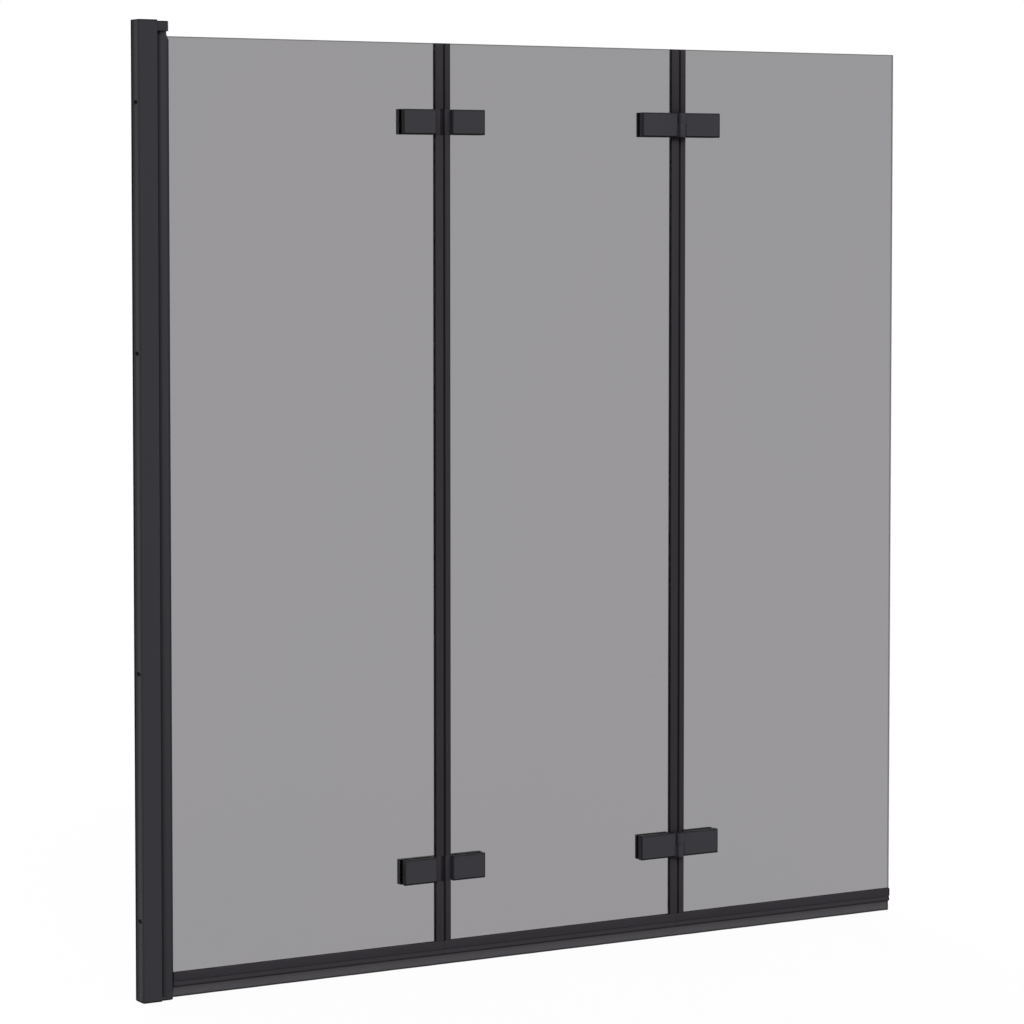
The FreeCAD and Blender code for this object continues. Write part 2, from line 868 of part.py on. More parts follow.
# the post and the three panes with their bottom strips
nodes += [pivot_post()] + post_plugs() + [post_gasket()]
FOLD_1 = s.joint_one
FOLD_2 = s.joint_two
PANES = (
    (s.pivot_place + s.glass_start, FOLD_1 - s.glass_to_joint, [(FOLD_1, -1)]),
    (FOLD_1 + s.glass_to_joint, FOLD_2 - s.glass_to_joint, [(FOLD_1, 1), (FOLD_2, -1)]),
    (FOLD_2 + s.glass_to_joint, s.screen_width, [(FOLD_2, 1)]),
)
STRIPS = (
    (s.pivot_place + s.post_radius + s.strip_to_post, FOLD_1 - s.strip_end_gap),
    (FOLD_1 + s.strip_end_gap, FOLD_2 - s.strip_end_gap),
    (FOLD_2 + s.strip_end_gap, s.screen_width),
)
for number, (pane, strip) in enumerate(zip(PANES, STRIPS), start=1):
    nodes.append(glass("glass_%d" % number, *pane))
    nodes.append(bottom_rail("bottom_rail_%d" % number, *strip))
    nodes.append(skirt("drip_skirt_%d" % number, *strip))

# the first fold has its barrels behind the glass, the second in front of it
nodes += fold_hardware(1, FOLD_1, 1)
nodes += fold_hardware(2, FOLD_2, -1)

doc.recompute()
for thing in doc.Objects:
    if "Invalid" in thing.State or "Error" in thing.State:
        raise RuntimeError("%s did not recompute" % thing.Label)
for node in nodes:
    if node.Shape.isNull() or not node.Shape.isValid():
        raise RuntimeError("%s has no valid shape" % node.Label)

os.makedirs("parts", exist_ok=True)
for node in nodes:
    node.Shape.exportStep(os.path.join("parts", node.Label + ".step"))
print("%d sub-parts" % len(nodes))
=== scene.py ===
import bpy
import bmesh
import json
import math
import numpy as np
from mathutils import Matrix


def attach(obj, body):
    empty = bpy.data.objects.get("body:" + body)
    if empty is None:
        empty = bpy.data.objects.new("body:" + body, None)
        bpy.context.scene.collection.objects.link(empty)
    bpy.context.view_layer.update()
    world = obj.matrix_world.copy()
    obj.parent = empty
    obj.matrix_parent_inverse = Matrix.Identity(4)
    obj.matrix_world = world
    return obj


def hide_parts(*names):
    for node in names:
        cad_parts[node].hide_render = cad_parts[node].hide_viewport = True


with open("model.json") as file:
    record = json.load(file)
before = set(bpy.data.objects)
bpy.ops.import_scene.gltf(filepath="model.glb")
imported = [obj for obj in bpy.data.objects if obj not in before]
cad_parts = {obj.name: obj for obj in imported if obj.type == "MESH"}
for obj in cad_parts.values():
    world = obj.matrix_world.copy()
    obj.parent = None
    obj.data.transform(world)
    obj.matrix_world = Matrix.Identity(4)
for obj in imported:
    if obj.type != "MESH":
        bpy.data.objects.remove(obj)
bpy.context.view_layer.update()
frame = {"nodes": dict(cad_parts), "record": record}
nodes = frame["nodes"]
print("frame loaded,", len(nodes), "nodes")


# shader building: every node comes from addNode, and a Wire lets sockets be used in plain sums

def addNode(tree, kind, settings, values, output=0):
    # makes one node: its settings first, then a number, a colour or a link for each socket
    node = tree.nodes.new(kind)
    for key, setting in settings.items():
        setattr(node, key, setting)
    for key, value in values.items():
        if isinstance(value, Wire):
            tree.links.new(value.socket, node.inputs[key])
        else:
            node.inputs[key].default_value = value
    return Wire(tree, node.outputs[output]) if node.outputs else None


class Wire:
    # wraps one output socket, so that sums of sockets read as ordinary arithmetic
    def __init__(self, tree, socket):
        self.tree = tree
        self.socket = socket

    def maths(self, operation, first, second):
        return addNode(self.tree, "ShaderNodeMath", {"operation": operation}, {0: first, 1: second})

    def __add__(self, other):
        return self.maths("ADD", self, other)

    def __radd__(self, other):
        return self.maths("ADD", other, self)

    def __sub__(self, other):
        return self.maths("SUBTRACT", self, other)

    def __rsub__(self, other):
        return self.maths("SUBTRACT", other, self)

    def __mul__(self, other):
        return self.maths("MULTIPLY", self, other)

    def __rmul__(self, other):
        return self.maths("MULTIPLY", other, self)

    def least(self, other):
        return self.maths("MINIMUM", self, other)

    def most(self, other):
        return self.maths("MAXIMUM", self, other)

    def absolute(self):
        return self.maths("ABSOLUTE", self, 0.0)

    def over(self, start, width):
        # 0 up to start, rising evenly to 1 over the width, and 1 from there on
        values = {"Value": self, "From Min": start, "From Max": start + width}
        return addNode(self.tree, "ShaderNodeMapRange", {}, values)


def newTree(name):
    # a material whose node tree is still empty
    material = bpy.data.materials.new(name)
    material.use_nodes = True
    material.node_tree.nodes.clear()
    return material, material.node_tree


def objectPlace(tree):
    # Object coordinates, in metres
    return addNode(tree, "ShaderNodeTexCoord", {}, {}, "Object")


def noise(tree, stretch, size, detail=3.0, rough=0.5):
    # cloudy noise from 0 to 1 on Object coordinates that are scaled apart along each axis
    place = addNode(tree, "ShaderNodeMapping", {}, {"Vector": objectPlace(tree), "Scale": stretch})
    values = {"Vector": place, "Scale": size, "Detail": detail, "Roughness": rough}
    return addNode(tree, "ShaderNodeTexNoise", {}, values)


def mixOf(waves, shares, start=0.0):
    # start, plus each wave times its share
    for word, share in shares.items():
        start = start + share * waves[word]
    return start


def blend(tree, factor, first, second):
    # the first colour where factor is 0 and the second where it is 1
    values = {0: factor, 6: first, 7: second}
    return addNode(tree, "ShaderNodeMix", {"data_type": "RGBA"}, values, 2)


def grey(level, tint=(1.0, 1.0, 1.0)):
    # the level times each part of the tint, as an opaque colour
    return tuple(level * part for part in tint) + (1.0,)


def paintedEdgeShade(tree):
    # the edge value, painted shade, that every made piece carries at its points
    return addNode(tree, "ShaderNodeAttribute", {"attribute_name": "edge"}, {}, "Fac")


# the finishes, one dictionary of values each: waves are the stretch, size, detail and roughness of
# a noise, and the colour, the roughness and the relief add them up by shares of their own; a bump
# is its depth in metres and its strength

even = (1.0, 1.0, 1.0)
coolTint = (0.960, 0.955, 1.108)
sealTint = (1.055, 0.945, 1.125)
skirtTint = (1.03, 0.96, 1.07)

coatValues = {  # satin dark coat: faint lines along the extrusion, orange peel, slow colour drift
    "name": "profileMetal",
    "waves": {"drawn": ((900.0, 900.0, 9.0), 1.0, 2.0), "drift": (even, 7.0, 4.0),
              "peel": (even, 1400.0, 2.0)},
    "dark": grey(0.0285, coolTint),
    "light": grey(0.0365, coolTint),
    "colour": {"drawn": 0.45, "drift": 0.55},
    "rough": 0.42,
    "roughness": {"drawn": 0.10, "drift": 0.08},
    "relief": {"drawn": 0.4, "peel": 1.0},
    "bump": (0.00004, 0.35),
    "metallic": 0.12,
    "shine": 0.09,
    "shadeLineShare": 0.10,
}
mouldedValues = {  # fine matt spark texture with a little cloudiness in the colour
    "name": "mouldedPlastic",
    "waves": {"spark": (even, 1900.0, 3.0, 0.6), "cloud": (even, 25.0)},
    "dark": grey(0.0265),
    "light": grey(0.0350, coolTint),
    "colour": {"cloud": 1.0},
    "rough": 0.50,
    "roughness": {"spark": 0.16},
    "relief": {"spark": 1.0},
    "bump": (0.00005, 0.5),
    "metallic": 0.0,
    "shine": 0.09,
    "shadeLineShare": 0.10,
}
extrudedValues = {  # drawn lines along the strip, a slow drift of colour and slight flow marks
    "name": "rigidSeal",
    "waves": {"drawn": ((7.0, 900.0, 900.0), 1.0, 2.0), "flow": (even, 11.0, 4.0)},
    "dark": grey(0.0208, sealTint),
    "light": grey(0.0300, sealTint),
    "colour": {"drawn": 0.5, "flow": 0.5},
    "rough": 0.45,
    "roughness": {"drawn": 0.12},
    "relief": {"drawn": 1.0},
    "bump": (0.00005, 0.4),
    "metallic": 0.0,
    "shine": 0.09,
    "shadeLineShare": 0.10,
}
uprightWaves = dict(extrudedValues["waves"], drawn=((900.0, 900.0, 7.0), 1.0, 2.0))
steelValues = {  # fine turning marks round the bar
    "name": "groundSteel",
    "waves": {"turned": ((40.0, 40.0, 2600.0), 1.0, 2.0)},
    "dark": grey(0.30),
    "light": grey(0.42),
    "colour": {"turned": 1.0},
    "rough": 0.28,
    "roughness": {"turned": 0.15},
    "relief": {"turned": 1.0},
    "bump": (0.00003, 0.3),
    "metallic": 1.0,
    "shine": 0.5,
    "shadeLineShare": 0.4,
}
finishValues = {
    "profile_metal": coatValues,
    "hinge_metal": dict(coatValues, name="hingeMetal", dark=grey(0.0325, coolTint),
                        light=grey(0.0410, coolTint), rough=0.46),
    "rigid_seal": extrudedValues,
    "upright_seal": dict(extrudedValues, name="uprightSeal", waves=uprightWaves, rough=0.48,
                         dark=grey(0.0205, sealTint), light=grey(0.0290, sealTint)),
    "soft_skirt": {  # soft grey strip: mottled, slightly cloudy and a little glossy
        "name": "softSkirt",
        "waves": {"mottle": ((1.0, 1.0, 2.2), 70.0, 4.0, 0.6),
                  "drawn": ((5.0, 900.0, 900.0), 1.0, 2.0)},
        "dark": grey(0.0500, skirtTint),
        "light": grey(0.0700, skirtTint),
        "colour": {"mottle": 1.0},
        "rough": 0.42,
        "roughness": {"mottle": 0.2},
        "relief": {"drawn": 0.4, "mottle": 1.0},
        "bump": (0.00012, 0.4),
        "metallic": 0.0,
        "shine": 0.15,
        "shadeLineShare": 0.22,
    },
    "clear_rubber": {  # matt dark rubber with a fine bloom
        "name": "clearRubber",
        "waves": {"bloom": (even, 240.0, 3.0)},
        "dark": grey(0.010),
        "light": grey(0.018),
        "colour": {"bloom": 1.0},
        "rough": 0.62,
        "roughness": {"bloom": 0.2},
        "relief": {"bloom": 1.0},
        "bump": (0.00004, 0.3),
        "metallic": 0.0,
        "shine": 0.12,
        "shadeLineShare": 1.0,
    },
    "steel_pin": steelValues,
    "screw_steel": dict(steelValues, name="blackScrew", dark=grey(0.018), light=grey(0.030),
                        rough=0.35, metallic=0.4),
    "moulded_plastic": mouldedValues,
    "black_plastic": dict(mouldedValues, name="blackPlastic", dark=grey(0.003),
                          light=grey(0.005, coolTint), shine=0.02),
}
glassValues = {
    "tint": (0.3132, 0.2978, 0.3136, 1.0),
    "tintFar": (0.3012, 0.3014, 0.3056, 1.0),
    # the colour of the painted shade on the ground rim
    "rim": (0.10, 0.098, 0.105, 1.0),
    "index": 1.3,
    "drift": ((1.0, 1.0, 0.45), 2.4, 3.0),
    "wave": ((0.6, 0.6, 6.0), 1.6, 1.0),
    "bump": (0.0002, 0.02),
}
channelShadeValues = {  # lengths and places of the painted shade on the wall channel, in metres
    "colour": 0.003,
    "rough": 0.6,
    "shine": 0.02,
    "lineWidth": 0.0003,
    "faceDeep": 0.0009,
    "partShadeFrom": -0.0010,
    "partShadeWidth": 0.003,
    "partShadeShare": 0.45,
    "blackFrom": 0.0070,
    "blackWidth": 0.0015,
    "blackShare": 0.55,
    "cornerFrom": 0.0124,
    "cornerDeep": 0.0014,
    "cornerShare": 0.2,
    "footTop": 0.0016,
    "holesMiddle": 0.690,
    "holesOuter": 0.575,
    "holesInner": 0.225,
    "holeOffset": 0.0030,
    "holeHalfWide": 0.0062,
    "holeHalfHigh": 0.0031,
    "holeFrom": 0.8,
    "holeFade": 0.3,
}


def paintedChannelShade(tree):
    # painted shade, where the wall channel goes black: towards the edge of its wall face, less
    # along that face's corners, round its cut foot, and in an ellipse at each screw hole, where
    # (across / half width) squared + (up / half height) squared is under 1
    s = channelShadeValues
    line, where = s["lineWidth"], objectPlace(tree)
    depth, side, height = [addNode(tree, "ShaderNodeSeparateXYZ", {}, {0: where}, axis)
                           for axis in "XYZ"]
    face = 1.0 - depth.over(s["faceDeep"], line)
    partShade = s["partShadeShare"] * side.over(s["partShadeFrom"], s["partShadeWidth"])
    sideShade = partShade + s["blackShare"] * side.over(s["blackFrom"], s["blackWidth"])
    beside = side.absolute().over(s["cornerFrom"], line)
    corner = s["cornerShare"] * (beside * (1.0 - depth.over(s["cornerDeep"], line)))
    foot = 1.0 - height.over(s["footTop"], line)
    fromMiddle = (height - s["holesMiddle"]).absolute()
    outer, inner = fromMiddle - s["holesOuter"], fromMiddle - s["holesInner"]
    across = (side + s["holeOffset"]) * (1.0 / s["holeHalfWide"])
    up = outer.absolute().least(inner.absolute()) * (1.0 / s["holeHalfHigh"])
    hole = 1.0 - (across * across + up * up).over(s["holeFrom"], s["holeFade"])
    return (face * sideShade.most(hole)).most(corner).most(foot)


def finishOff(tree, values, height, bump, shadeMask=None):
    # a Principled shader with a bump of this height, and a black coat of painted shade where the
    # shade mask says
    bump = {"Height": height, "Distance": bump[0], "Strength": bump[1]}
    values = dict(values, Normal=addNode(tree, "ShaderNodeBump", {}, bump))
    shader = addNode(tree, "ShaderNodeBsdfPrincipled", {}, values)
    if shadeMask is not None:
        s = channelShadeValues
        shadeCoat = addNode(tree, "ShaderNodeBsdfPrincipled", {}, {
            "Base Color": grey(s["colour"]),
            "Roughness": s["rough"],
            "Specular IOR Level": s["shine"],
        })
        shader = addNode(tree, "ShaderNodeMixShader", {}, {0: shadeMask, 1: shader, 2: shadeCoat})
    addNode(tree, "ShaderNodeOutputMaterial", {}, {"Surface": shader})


def opaqueFinish(name, f, withChannelShade=False):
    # the colour goes from dark to light with its waves and falls to a share of itself along the
    # lines where the form turns, as painted shade; roughness and relief go up and down with waves
    # of their own
    material, tree = newTree(name)
    waves = {word: noise(tree, *settings) for word, settings in f["waves"].items()}
    colour = blend(tree, mixOf(waves, f["colour"]), f["dark"], f["light"])
    # the colour at full painted shade
    line = addNode(tree, "ShaderNodeVectorMath", {"operation": "SCALE"},
                   {0: colour, 3: f["shadeLineShare"]}, "Vector")
    values = {
        "Base Color": blend(tree, paintedEdgeShade(tree), colour, line),
        "Metallic": f["metallic"],
        "Roughness": mixOf(waves, f["roughness"], f["rough"]),
        "Specular IOR Level": f["shine"],
    }
    shadeMask = paintedChannelShade(tree) if withChannelShade else None
    finishOff(tree, values, mixOf(waves, f["relief"]), f["bump"], shadeMask)
    return material


def smokedGlass():
    # grey tinted toughened glass: the tint drifts very slowly, rollers leave a faint wave, and the
    # ground rim is darkened with painted shade
    g = glassValues
    material, tree = newTree("smokedGlass")
    tint = blend(tree, noise(tree, *g["drift"]), g["tintFar"], g["tint"])
    values = {
        "Base Color": blend(tree, paintedEdgeShade(tree), tint, g["rim"]),
        "Roughness": 0.0,
        "IOR": g["index"],
        "Transmission Weight": 1.0,
    }
    finishOff(tree, values, noise(tree, *g["wave"]), g["bump"])
    return material


finishes = {slotName: opaqueFinish(f["name"], f) for slotName, f in finishValues.items()}
finishes["smoked_glass"] = smokedGlass()
# the wall channel's coat, with its painted shade
channelFinish = opaqueFinish("channelMetal", coatValues, True)
for part in frame["record"]["subparts"]:
    node = nodes[part["node"]]
    finish = channelFinish if part["node"] == "wall_profile" else finishes[part["material_slot"]]
    node.data.materials.clear()
    node.data.materials.append(finish)
print("finishes made,", len(finishes))


# mesh building, in millimetres: a shell is a stack of rings, each a loop of the same number of
# points, with an edge value at every point, painted shade that the finishes use to darken the lines
# where a form turns; a ring is written as (loop, level, edge mark)

arcSteps = 4  # pieces of a rounded corner
closest = 0.02  # points added to a loop keep this far from the next
usualSharp = 32.0  # edges are sharp where faces turn by more, in degrees
mm = 0.001


def roundCorners(points, radii, steps=arcSteps):
    # swaps each corner for a circle's arc that touches both of its sides: the arc's centre lies on
    # the corner's bisector at radius / sin(half the corner), and points turn evenly about it
    points = np.asarray(points, float)
    before = np.roll(points, 1, axis=0) - points
    after = np.roll(points, -1, axis=0) - points
    longBefore = np.linalg.norm(before, axis=1)
    longAfter = np.linalg.norm(after, axis=1)
    before = before / longBefore[:, None]
    after = after / longAfter[:, None]
    half = np.arccos(np.clip(np.sum(before * after, axis=1), -0.999999, 0.999999)) / 2
    radii = np.broadcast_to(radii, half.shape)
    most = 0.499 * np.minimum(longBefore, longAfter)  # two arcs can share a side
    reach = np.minimum(radii / np.tan(half), most)
    middle = before + after
    middle = middle / np.linalg.norm(middle, axis=1)[:, None]
    centre = points + middle * (reach / np.cos(half))[:, None]
    start = points + before * reach[:, None] - centre
    end = points + after * reach[:, None] - centre
    turn = (math.pi - 2 * half)[:, None, None]
    step = np.linspace(0.0, 1.0, steps + 1)[None, :, None]
    arc = np.sin((1 - step) * turn) * start[:, None, :] + np.sin(step * turn) * end[:, None, :]
    return (centre[:, None, :] + arc / np.sin(turn)).reshape(-1, 2)


def cornerMarks(shares):
    # each corner's share along its arc of roundCorners, and 0 at the arc's two ends
    mark = np.ones(arcSteps + 1)
    mark[0] = mark[-1] = 0.0
    return (np.asarray(shares, float)[:, None] * mark).reshape(-1)


def densify(loop, marks, spacing):
    # adds points along the long runs of a loop, at even steps of its length, and keeps its own
    marks = np.broadcast_to(marks, len(loop))
    closed = np.column_stack([np.vstack([loop, loop[:1]]), np.append(marks, marks[0])])
    travel = np.cumsum(np.linalg.norm(np.diff(closed[:, :2], axis=0), axis=1))
    travel = np.concatenate([[0.0], travel])
    steps = np.linspace(0.0, travel[-1], int(travel[-1] / spacing) + 2)
    places = np.union1d(np.round(travel, 5), np.round(steps, 5))
    places = places[np.concatenate([[True], np.diff(places) > closest])][:-1]
    found = np.stack([np.interp(places, travel, closed[:, k]) for k in range(3)], axis=1)
    return found[:, :2], found[:, 2]


def inset(loop, depth):
    # moves each point inwards by depth, square to the loop, so both sides beside it move by depth
    side = np.roll(loop, -1, axis=0) - loop
    side = side / np.maximum(np.linalg.norm(side, axis=1), 1e-9)[:, None]
    normal = np.stack([-side[:, 1], side[:, 0]], axis=1)
    both = normal + np.roll(normal, 1, axis=0)
    both = both / np.maximum(np.sum(both * normal, axis=1), 0.3)[:, None]  # a limit at sharp points
    area = np.sum(loop[:, 0] * np.roll(loop[:, 1], -1) - np.roll(loop[:, 0], -1) * loop[:, 1])
    return loop + both * depth * np.sign(area)


def endRings(loop, low, high, edge, steps=3):
    # a bar of this section whose two ends are rounded off by a quarter circle of radius edge; each
    # ring's mark, the root of sin(2 * angle), is 0 where the quarter circle starts and ends
    angle = np.linspace(0.0, math.pi / 2, steps + 1)
    depth = edge * (1 - np.sin(angle))
    level = edge * (1 - np.cos(angle))
    mark = np.abs(np.sin(2 * angle)) ** 0.5
    rows = list(zip(depth, level, mark))
    first = [(inset(loop, d), low + z, m) for d, z, m in rows]
    last = [(inset(loop, d), high - z, m) for d, z, m in rows[::-1]]
    return first + last


def onAxis(loop, level, axis):
    # puts a flat loop at one level on an axis: Z takes (x, y), Y takes (x, z) and X takes (y, z)
    filled = np.full(len(loop), level)
    order = {"Z": (loop[:, 0], loop[:, 1], filled), "Y": (loop[:, 0], filled, loop[:, 1]),
             "X": (filled, loop[:, 0], loop[:, 1])}[axis]
    return np.stack(order, axis=1)


def shell(axis, rings, marks=0.0):
    # a grid of points and their edge values: the larger of the ring's mark and the loop's
    grid = np.stack([onAxis(loop, level, axis) for loop, level, mark in rings])
    ring = np.stack([np.broadcast_to(mark, len(loop)) for loop, level, mark in rings])
    edge = np.maximum(ring, np.broadcast_to(marks, grid.shape[1])[None, :])
    edge[[0, -1]] = 0.0
    return grid, edge


def bar(axis, loop, marks, low, high, edge, steps=3):
    # the loop carried along an axis from low to high, with its ends rounded off
    return shell(axis, endRings(loop, low, high, edge, steps), marks)


def box(axis, first, second, low, high, corner, edge, dark=1.0):
    # a rounded box from its two corners in the plane square to the axis, and its ends
    loop = roundCorners([first, (second[0], first[1]), second, (first[0], second[1])], corner)
    return bar(axis, loop, cornerMarks([dark] * 4), low, high, edge)


def evenAngles(count=48):
    # angles at even steps round a full turn
    return np.arange(count) * 2 * math.pi / count


def polar(centre, radius, angle):
    # points at centre + radius * (cos angle, sin angle)
    x, y = centre
    return np.stack([x + radius * np.cos(angle), y + radius * np.sin(angle)], axis=1)


def holeRings(loop, centre, end, out, steps):
    # a hole sunk in the end face of a bar: each step (radius, depth, edge mark) is a circle whose
    # points lie on the lines from its centre to the loop's points
    centre = np.asarray(centre)
    away = loop - centre
    length = np.linalg.norm(away, axis=1)[:, None]
    return [(centre + radius * away / length, end - depth * out, mark)
            for radius, depth, mark in steps]


def ringFaces(count, size, start):
    # quads between each ring and the next, and one many-sided face over each end
    ring = np.arange(count - 1)[:, None] * size
    step = np.arange(size)[None, :]
    after = (step + 1) % size
    quads = np.stack([ring + step, ring + after, ring + size + after, ring + size + step], axis=2)
    last = start + (count - 1) * size
    caps = [list(range(start, start + size)), list(range(last, last + size))]
    return (quads.reshape(-1, 4) + start).tolist() + caps


def makePiece(name, shells, body, slotName, stands=(), sharp=usualSharp):
    # joins closed shells into one piece that rides on a body, in place of the nodes it stands for
    faces, start = [], 0
    for grid, edge in shells:
        faces += ringFaces(grid.shape[0], grid.shape[1], start)
        start += grid.shape[0] * grid.shape[1]
    points = np.concatenate([grid.reshape(-1, 3) for grid, edge in shells]) * mm
    marks = np.concatenate([edge.reshape(-1) for grid, edge in shells])
    mesh = bpy.data.meshes.new(name)
    mesh.from_pydata(points.tolist(), [], faces)
    mesh.attributes.new("edge", "FLOAT", "POINT").data.foreach_set("value", marks)
    shaped = bmesh.new()
    shaped.from_mesh(mesh)
    bmesh.ops.recalc_face_normals(shaped, faces=shaped.faces)
    shaped.to_mesh(mesh)
    shaped.free()
    mesh.polygons.foreach_set("use_smooth", np.ones(len(mesh.polygons), bool))
    mesh.set_sharp_from_angle(angle=math.radians(sharp))
    mesh.materials.append(finishes[slotName])
    piece = bpy.data.objects.new(name, mesh)
    bpy.context.scene.collection.objects.link(piece)
    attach(piece, body)
    if stands:
        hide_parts(*stands)
    return piece


# places that several pieces share: heights over the bath's rim and distances from the wall

screenValues = {
    "width": 1300.0,
    "glassTop": 1357.7,
    "glassBottom": 25.9,
    "glassToFold": 5.0,
    "glassSlot": 2.52,
    "stripTop": 36.8,
    "hingeLevels": (144.5, 1243.0),
    "folds": (488.0, 897.5),
}
foldOne, foldTwo = screenValues["folds"]
folds = (  # number, place, side of the glass where the barrels stand, and the bodies that it joins
    (1, foldOne, 1, ("panel_1", "panel_2")),
    (2, foldTwo, -1, ("panel_2", "panel_3")),
)


# the two folds: each has two hinges, of two blocks, two plates, a pin and two screws

hingeValues = {
    "reach": 69.5,
    "gap": 0.75,
    "height": 37.0,
    "glassFace": 3.0,
    "thick": 10.0,
    "plateThick": 7.0,
    "plateStart": 13.0,
    "plateReach": 68.0,
    "relief": 6.2,
    "edge": 0.9,
    "cornerRadius": 1.0,
    "spacing": 2.5,
    "near": 0.1,
    "faint": 0.1,
    "underFull": 1.2,
    "underLine": 1.7,
    "sideLine": 0.8,
    "endShade": 0.5,
    "topShade": 0.35,
    "topFaceShade": 0.8,
    "axisOff": 13.3,
    "barrel": 5.5,
    "barrelSpacing": 1.0,
    "barrelSteps": 12,
    "barrelEdge": 0.45,
    "seamEdge": 0.15,
    "seam": 0.4,
    "footReach": 8.0,
    "footEdge": 0.3,
    "leafReach": 6.6,
    "leafSink": 0.4,
    "leafTop": 12.8,
    "leafShoulder": 12.9,
    "leafRound": 0.1,
    "shoulderRound": 0.05,
    "pin": 3.0,
    "pinRecess": 0.5,
    "pinEdge": 0.3,
    "boreFit": 0.05,
    "boreMouth": 0.4,
    "boreSlope": 0.35,
    "boreDepth": 1.5,
    "screwPlace": 38.0,
    "screwHole": 3.75,
    "holeDepth": 4.0,
    "screwDish": 0.35,
    "dishRun": 2.5,
    "screwRadius": 3.5,
    "screwSink": 0.4,
    "screwFloor": 1.5,
    "screwTip": 0.4,
    "screwEdge": 0.35,
    "socket": 2.3,
    "socketDepth": 2.4,
    "socketMouth": (0.1, 0.2),
    "socketTaper": 0.97,
    "socketPoint": (0.02, 0.5),
    "faceShade": 0.5,
}


def turnedProfile(rows, centre, side, knuckle, steps=arcSteps):
    # corners (along its own pane, out from the glass, radius) of a piece at a fold: the place is
    # centre + along * side and out * knuckle, and then each corner is rounded
    rows = np.array(rows)
    points = np.stack([centre + rows[:, 0] * side, rows[:, 1] * knuckle], axis=1)
    return roundCorners(points, rows[:, 2], steps)


def clampBox(ends, level, near, far, holeAt):
    # a clamp part seen square to the glass: rings of a rounded rectangle go from the glass to the
    # outer face and shrink on it, to middle + (loop - middle) * (1 - (edge + line) / reach). Its
    # lower line, top and ends are darkened with painted shade, and the outer face has a screw's
    # dished hole where holeAt is given
    v = hingeValues
    half = v["height"] / 2
    left, right = min(ends), max(ends)
    low, high = level - half, level + half
    corners = [(left, low), (right, low), (right, high), (left, high)]
    loop = roundCorners(corners, v["cornerRadius"])
    loop, marks = densify(loop, cornerMarks([1.0] * 4), v["spacing"])
    middle = np.array([(left + right) / 2, level])
    reach = np.array([(right - left) / 2, half])
    onTop = loop[:, 1] > high - v["near"]
    atEnd = np.abs(loop[:, 0] - middle[0]) > reach[0] - v["near"]
    side = np.maximum(marks, onTop * v["topFaceShade"])
    under = atEnd * v["endShade"] + onTop * v["topShade"]
    under = np.where(loop[:, 1] < low + v["cornerRadius"], 1.0, under)
    outward = 1 if far > near else -1
    rings = endRings(loop, min(near, far), max(near, far), v["edge"])[::outward]
    turn = len(rings) // 2
    back = [(ring, place, np.maximum(mark, side * (mark > v["faint"])))
            for ring, place, mark in rings[:turn]]
    front = [(ring, place, np.maximum(mark, under)) for ring, place, mark in rings[turn:]]
    deep = (v["edge"] + v["sideLine"]) * outward
    sides = [(loop, near + deep, side), (loop, far - deep, side)]
    face = [(middle + (loop - middle) * (1 - (v["edge"] + line) / reach), far, mark)
            for line, mark in ((v["underFull"], under), (v["underLine"], 0.0))]
    rings = back + sides + front + face
    if holeAt is not None:
        hole, dish = v["screwHole"], v["screwDish"]
        steps = ((hole + v["dishRun"] * dish, 0.0, 0.0), (hole + dish, 0.0, 1.0), (hole, dish, 1.0),
                 (hole, v["holeDepth"], 0.0))
        rings += holeRings(loop, (holeAt, level), far, outward, steps)
    return shell("Y", rings)


def hingeBlock(name, centre, side, knuckle, level, upperHalf, body):
    # the clamp box, the foot that runs under the barrel, and this block's half of the barrel: an
    # upright bar whose plan is the barrel's circle with a leaf back to the box, bored for the pin
    v = hingeValues
    glass, half, axis, barrel = v["glassFace"], v["height"] / 2, v["axisOff"], v["barrel"]
    holeAt = centre + v["screwPlace"] * side if knuckle > 0 else None
    ends = (centre + v["relief"] * side, centre + v["reach"] * side)
    clamp = clampBox(ends, level, glass * knuckle, (glass + v["thick"]) * knuckle, holeAt)

    gap, floor, sole, edge = v["gap"], axis - v["relief"], v["footReach"], v["footEdge"]
    plan = [(gap, glass, edge), (sole, glass, edge), (sole, floor, edge), (gap, floor, edge)]
    plan = turnedProfile(plan, centre, side, knuckle)
    foot = bar("Z", plan, cornerMarks([1.0] * 4), level - half, level + half, edge)

    leaf, root = v["leafReach"], floor - v["leafSink"]
    soft, sharp = v["leafRound"], v["shoulderRound"]
    plan = [(gap, root, soft), (leaf, root, soft), (leaf, v["leafTop"], sharp),
            (barrel, v["leafShoulder"], sharp), (barrel, axis + barrel, barrel),
            (-barrel, axis + barrel, barrel), (-barrel, axis - barrel, barrel),
            (gap, axis - barrel, soft)]
    plan = turnedProfile(plan, centre, side, knuckle, v["barrelSteps"])
    loop = densify(plan, 0.0, v["barrelSpacing"])[0]
    low = level + v["seam"] / 2 if upperHalf else level - half
    high = level + half if upperHalf else level - v["seam"] / 2
    out, end = (1, high) if upperHalf else (-1, low)
    outer = endRings(loop, low, high, v["barrelEdge"])[::out]
    seam = endRings(loop, low, high, v["seamEdge"])[::out]
    turn = len(outer) // 2
    rings = [(ring, place, 0.0) for ring, place, mark in seam[:turn]] + outer[turn:]
    mouth, bore = v["pin"] + v["boreMouth"], v["pin"] + v["boreFit"]
    # the bore's mouth carries painted shade
    steps = ((mouth, 0.0, 1.0), (bore, v["boreSlope"], 1.0), (bore, v["boreDepth"], 0.0))
    rings += holeRings(loop, (centre, axis * knuckle), end, out, steps)
    makePiece("look_" + name, [clamp, foot, shell("Z", rings)], body, "hinge_metal", [name])


